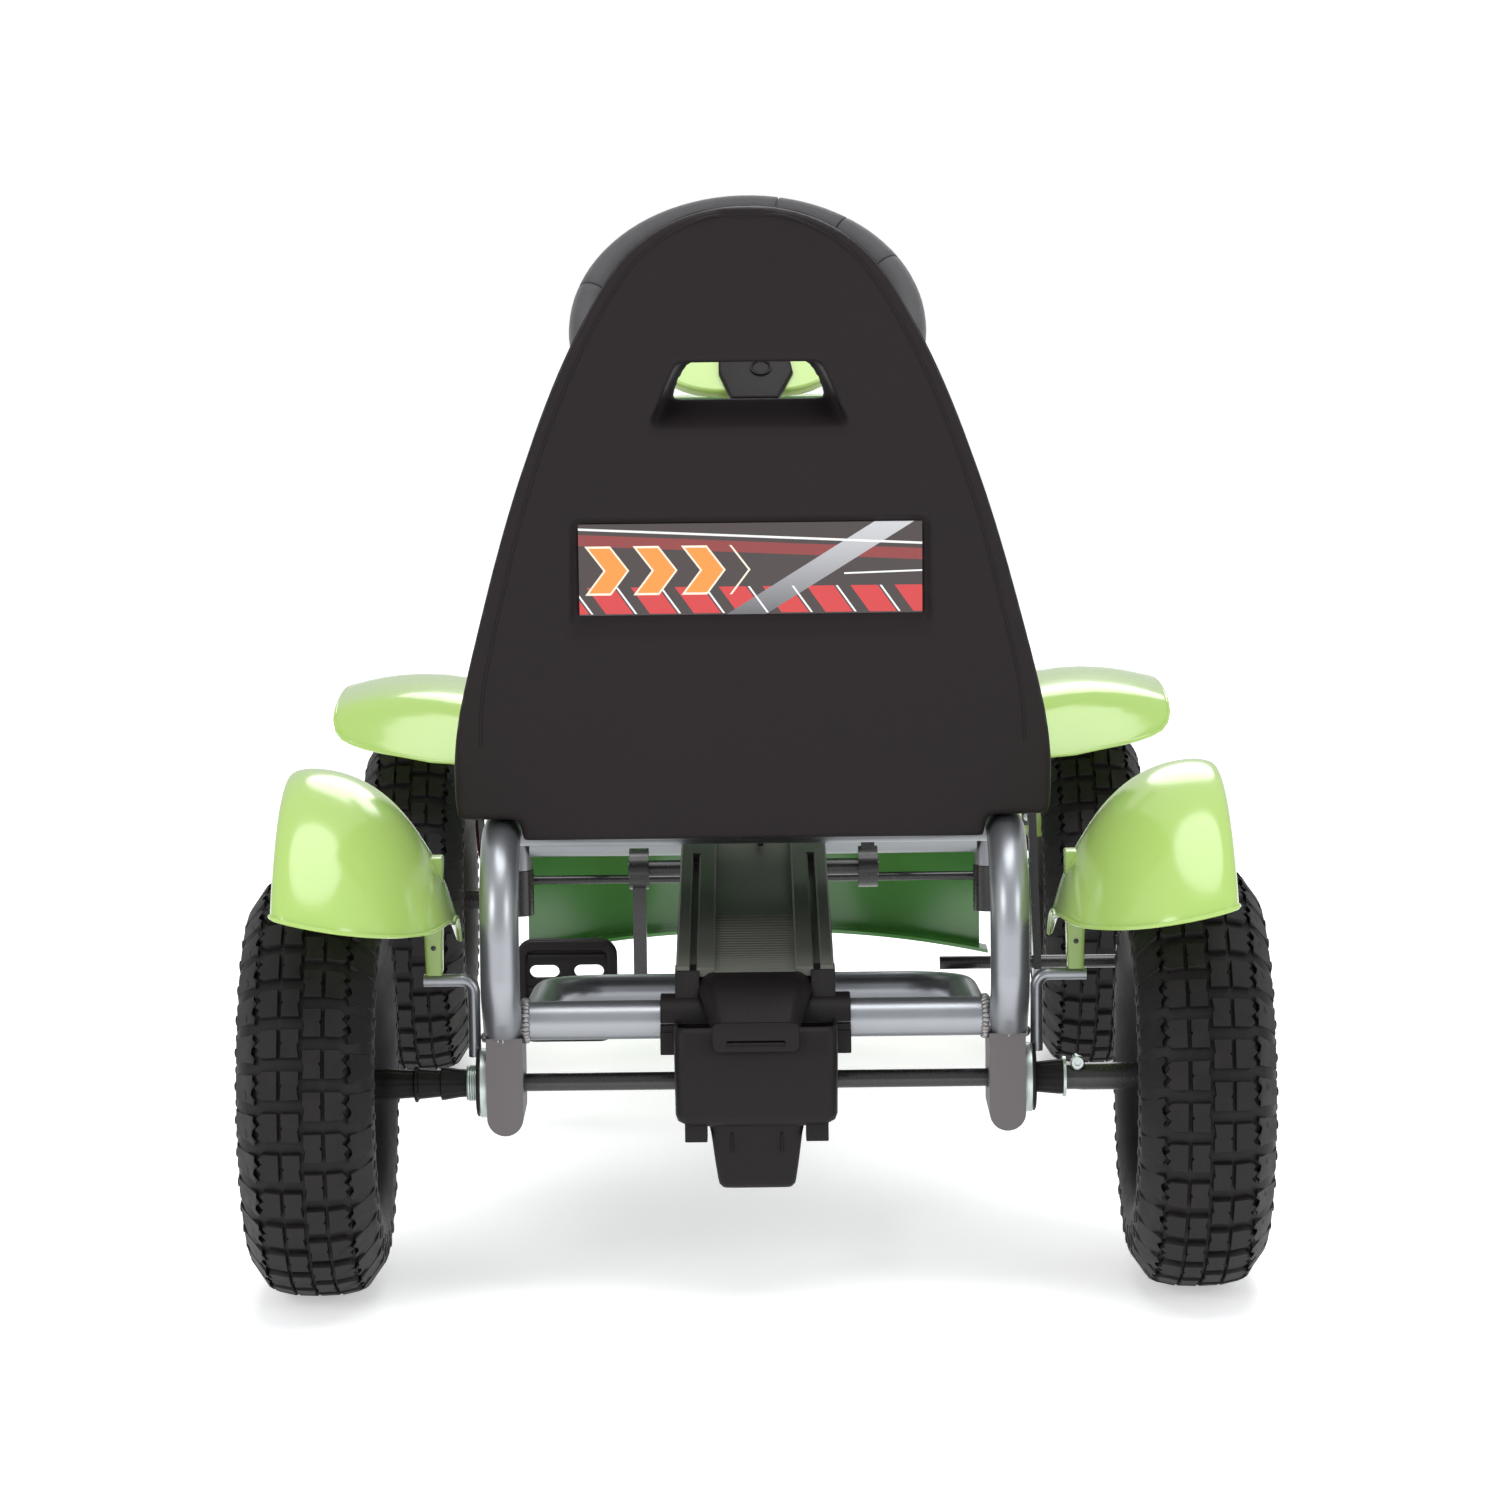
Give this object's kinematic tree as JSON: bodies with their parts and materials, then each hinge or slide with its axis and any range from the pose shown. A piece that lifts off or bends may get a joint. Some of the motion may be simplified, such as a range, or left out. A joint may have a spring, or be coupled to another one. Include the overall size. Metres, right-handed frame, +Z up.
{
  "type": "pedal go kart",
  "caption": "Ride-on pedal kart with pneumatic tyres, a moulded seat, chain drive to the rear axle, linked steering, wheel guards and a hand brake.",
  "frame": {"origin": "on the ground under the middle of the kart", "axes": "+Y forward, +X to the driver's right, +Z up"},
  "size_m": [0.7202, 1.1715, 0.78],
  "materials": {
    "silver_tube": "silver paint, satin",
    "dark_frame": "black paint, satin",
    "bracket_steel": "silver painted sheet",
    "zinc": "zinc plated",
    "chain_steel": "oiled steel",
    "seat_plastic": "fine grain",
    "black_plastic": "fine grain",
    "green_plastic": "gloss",
    "tyre": "block tread",
    "red_rim": "red paint",
    "dark_rim": "dark grey paint",
    "grip_foam": "foam grip",
    "badge": null
  },
  "bodies": {
    "frame": {"seat_rail_left": "silver_tube", "seat_rail_right": "silver_tube", "seat_cross_tube": "silver_tube", "rear_crossbar": "silver_tube", "hoop_tube": "silver_tube", "spine_rail_left": "dark_frame", "spine_rail_right": "dark_frame", "front_beam": "silver_tube", "bearing_bracket_left": "bracket_steel", "bearing_bracket_right": "bracket_steel", "rear_bearings": "bracket_steel", "crank_bearings": "bracket_steel", "drive_chain": "chain_steel", "steering_stand": "silver_tube", "seat_shell": "seat_plastic", "seat_badge": "badge", "seat_bolts": "zinc", "chain_guard": "black_plastic", "rear_chain_box": "black_plastic", "guard_latch": "black_plastic", "rear_fender_left": "green_plastic", "rear_fender_right": "green_plastic", "fender_stays": "bracket_steel", "nose_panel": "green_plastic", "nose_shield": "green_plastic", "nose_bars": "silver_tube", "brake_bracket": "bracket_steel"},
    "rear_axle_set": {"rear_axle": "dark_frame", "rear_sprocket": "chain_steel", "axle_sleeves": "black_plastic", "axle_nuts": "zinc", "tyre_rear_right": "tyre", "rim_rear_right": "dark_rim"},
    "rear_left_wheel": {"tyre_rear_left": "tyre", "rim_rear_left": "dark_rim"},
    "crank_set": {"crank_axle": "dark_frame", "crank_arm_left": "dark_frame", "crank_arm_right": "dark_frame", "front_sprocket": "chain_steel"},
    "left_pedal": {"pedal_left": "black_plastic"},
    "right_pedal": {"pedal_right": "black_plastic"},
    "steering_set": {"steering_column": "dark_frame", "steering_grip_ring": "grip_foam", "steering_spokes": "bracket_steel", "steering_cap": "black_plastic"},
    "left_knuckle": {"knuckle_left": "dark_frame", "front_fender_left": "green_plastic"},
    "right_knuckle": {"knuckle_right": "dark_frame", "front_fender_right": "green_plastic"},
    "tie_rod_link": {"tie_rod": "dark_frame"},
    "front_left_wheel": {"tyre_front_left": "tyre", "rim_front_left": "red_rim", "hub_front_left": "zinc"},
    "front_right_wheel": {"tyre_front_right": "tyre", "rim_front_right": "red_rim", "hub_front_right": "zinc"},
    "hand_brake": {"brake_shaft": "dark_frame", "brake_lever": "dark_frame", "brake_grip": "black_plastic", "brake_pad": "grip_foam"}
  },
  "joints": [
    {"name": "rear_axle_spin", "type": "hinge", "parent": "frame", "child": "rear_axle_set", "pos_m": [0, -0.435, 0.152], "axis": [1, 0, 0], "continuous": true},
    {"name": "rear_left_wheel_spin", "type": "hinge", "parent": "rear_axle_set", "child": "rear_left_wheel", "pos_m": [-0.315, -0.435, 0.152], "axis": [1, 0, 0], "continuous": true},
    {"name": "crank_spin", "type": "hinge", "parent": "frame", "child": "crank_set", "pos_m": [0, 0.1, 0.223], "axis": [1, 0, 0], "continuous": true},
    {"name": "left_pedal_spin", "type": "hinge", "parent": "crank_set", "child": "left_pedal", "pos_m": [-0.1565, 0.1, 0.105], "axis": [1, 0, 0], "continuous": true},
    {"name": "right_pedal_spin", "type": "hinge", "parent": "crank_set", "child": "right_pedal", "pos_m": [0.1565, 0.1, 0.341], "axis": [1, 0, 0], "continuous": true},
    {"name": "steering_turn", "type": "hinge", "parent": "frame", "child": "steering_set", "pos_m": [0, -0.045, 0.676], "axis": [0, -0.7071, 0.7071], "range_deg": [-22, 22]},
    {"name": "left_knuckle_turn", "type": "hinge", "parent": "frame", "child": "left_knuckle", "pos_m": [-0.209, 0.385, 0.152], "axis": [0, 0, 1], "range_deg": [-22, 22]},
    {"name": "right_knuckle_turn", "type": "hinge", "parent": "frame", "child": "right_knuckle", "pos_m": [0.209, 0.385, 0.152], "axis": [0, 0, 1], "range_deg": [-22, 22]},
    {"name": "tie_rod_pivot", "type": "hinge", "parent": "left_knuckle", "child": "tie_rod_link", "pos_m": [-0.209, 0.435, 0.161], "axis": [0, 0, 1], "range_deg": [-22, 22]},
    {"name": "front_left_wheel_spin", "type": "hinge", "parent": "left_knuckle", "child": "front_left_wheel", "pos_m": [-0.297, 0.385, 0.152], "axis": [1, 0, 0], "continuous": true},
    {"name": "front_right_wheel_spin", "type": "hinge", "parent": "right_knuckle", "child": "front_right_wheel", "pos_m": [0.297, 0.385, 0.152], "axis": [1, 0, 0], "continuous": true},
    {"name": "hand_brake_pull", "type": "hinge", "parent": "frame", "child": "hand_brake", "pos_m": [0.197, -0.232, 0.2], "axis": [1, 0, 0], "range_deg": [0, 12]}
  ],
  "couplings": [
    {"joint": "crank_spin", "follows": "rear_axle_spin", "ratio": 0.5},
    {"joint": "left_knuckle_turn", "follows": "steering_turn", "ratio": 1},
    {"joint": "right_knuckle_turn", "follows": "steering_turn", "ratio": 1},
    {"joint": "tie_rod_pivot", "follows": "steering_turn", "ratio": -1}
  ]
}
